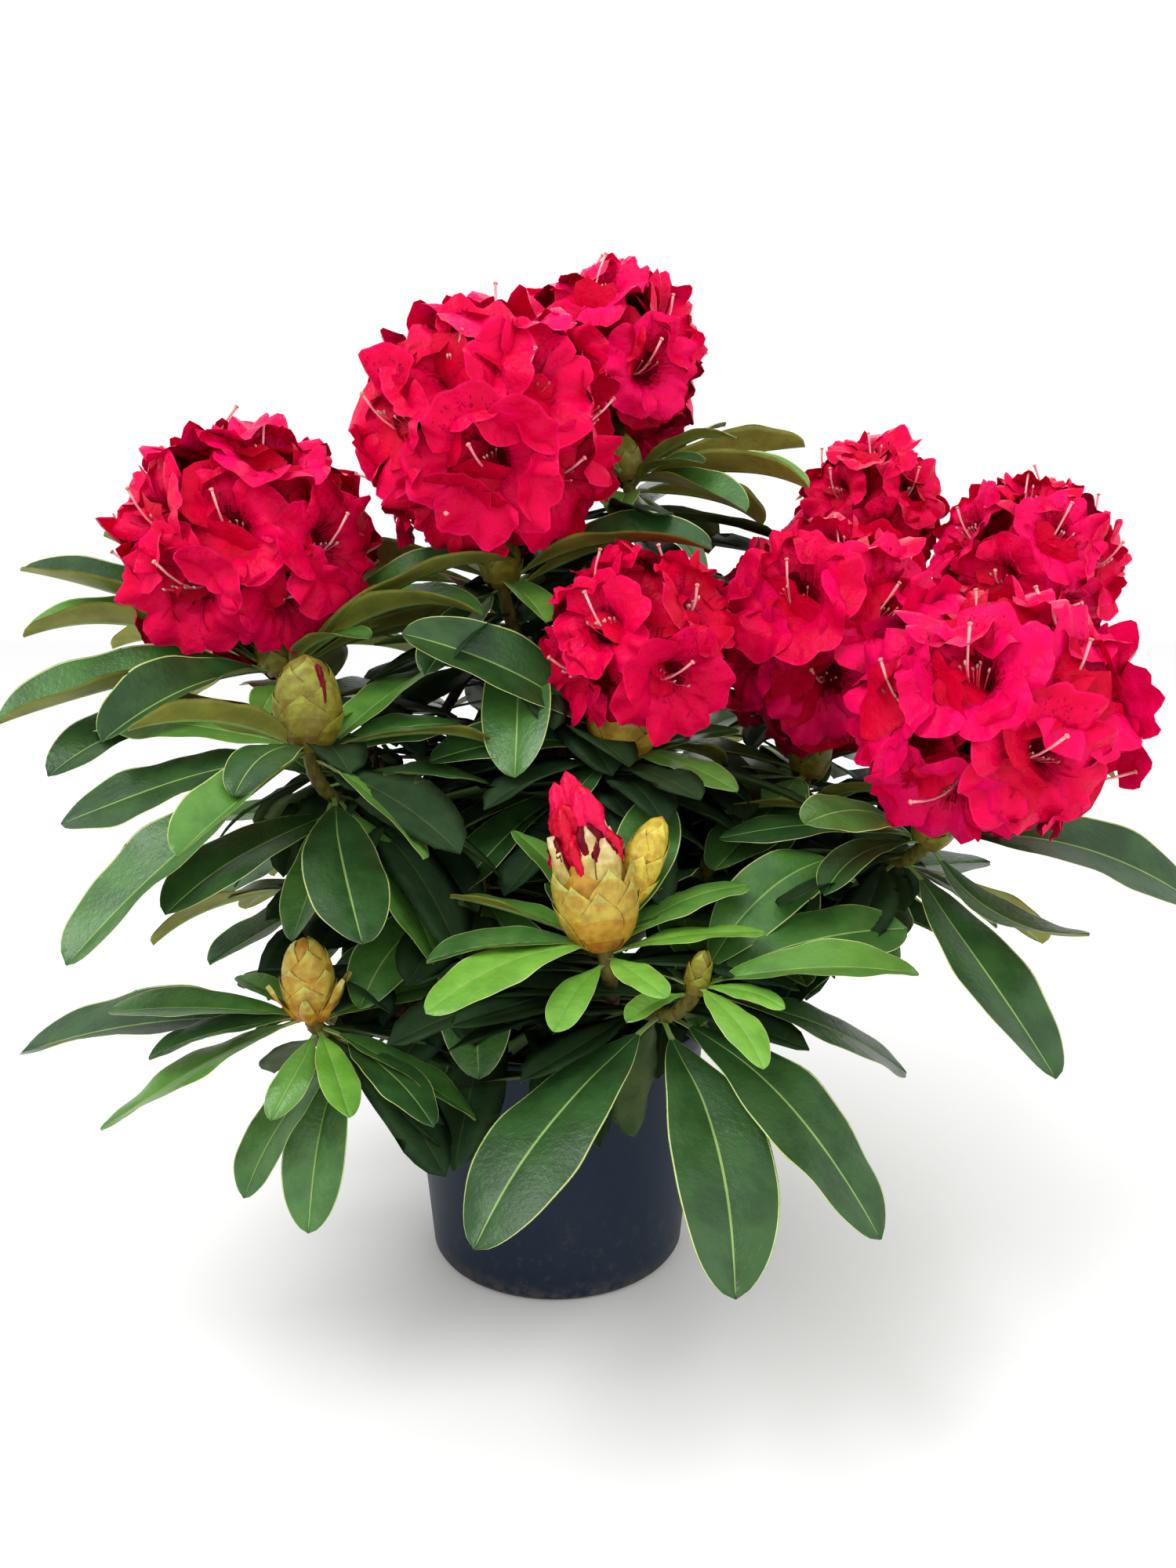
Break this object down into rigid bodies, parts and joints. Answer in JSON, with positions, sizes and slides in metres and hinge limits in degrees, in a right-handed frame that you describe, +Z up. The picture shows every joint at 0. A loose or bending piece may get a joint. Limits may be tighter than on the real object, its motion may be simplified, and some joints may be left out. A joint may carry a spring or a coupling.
{
  "type": "potted rhododendron shrub",
  "caption": "Bushy evergreen flowering shrub with whorls of long leathery leaves and round red flower trusses, growing in a dark round nursery pot.",
  "frame": {"origin": "centre of the pot's flat underside", "axes": "+Z up the pot's axis, +X to the right and -Y towards the viewer of the fullest side"},
  "size_m": [0.7728, 0.6525, 0.6583],
  "materials": {
    "pot_plastic": "dark blue-black moulded plastic, scuffed and dusty near the foot",
    "potting_mix": "moist peat and bark mix",
    "bark": "thin grey-brown bark",
    "leaves_and_petals": "leathery green leaves, crimson petals, olive stems and buds"
  },
  "bodies": {
    "root": {"pot": "pot_plastic", "potting_mix": "potting_mix", "trunk": "bark", "bough_left": "bark", "bough_low_left": "bark", "bough_front": "bark", "bough_right": "bark", "bough_back_right": "bark", "bough_back": "bark", "bough_back_left": "bark", "bough_centre": "bark", "shoot_left_truss": "leaves_and_petals", "shoot_left_bud": "leaves_and_petals", "shoot_low_left_bud": "leaves_and_petals", "shoot_front_bud": "leaves_and_petals", "shoot_front_low": "leaves_and_petals", "shoot_centre_truss": "leaves_and_petals", "shoot_centre_top": "leaves_and_petals", "shoot_top_truss": "leaves_and_petals", "shoot_right_truss": "leaves_and_petals", "shoot_right_front_truss": "leaves_and_petals", "shoot_right_back_truss": "leaves_and_petals", "shoot_far_right_truss": "leaves_and_petals", "shoot_back_left_truss": "leaves_and_petals", "shoot_back_top_truss": "leaves_and_petals", "shoot_back_right_truss": "leaves_and_petals", "shoot_back_bud": "leaves_and_petals", "shoot_low_back_left": "leaves_and_petals", "shoot_low_back_right": "leaves_and_petals", "shoot_low_right": "leaves_and_petals", "shoot_low_back": "leaves_and_petals", "shoot_low_left": "leaves_and_petals", "shoot_inner_left": "leaves_and_petals", "shoot_inner_right": "leaves_and_petals"}
  },
  "joints": []
}
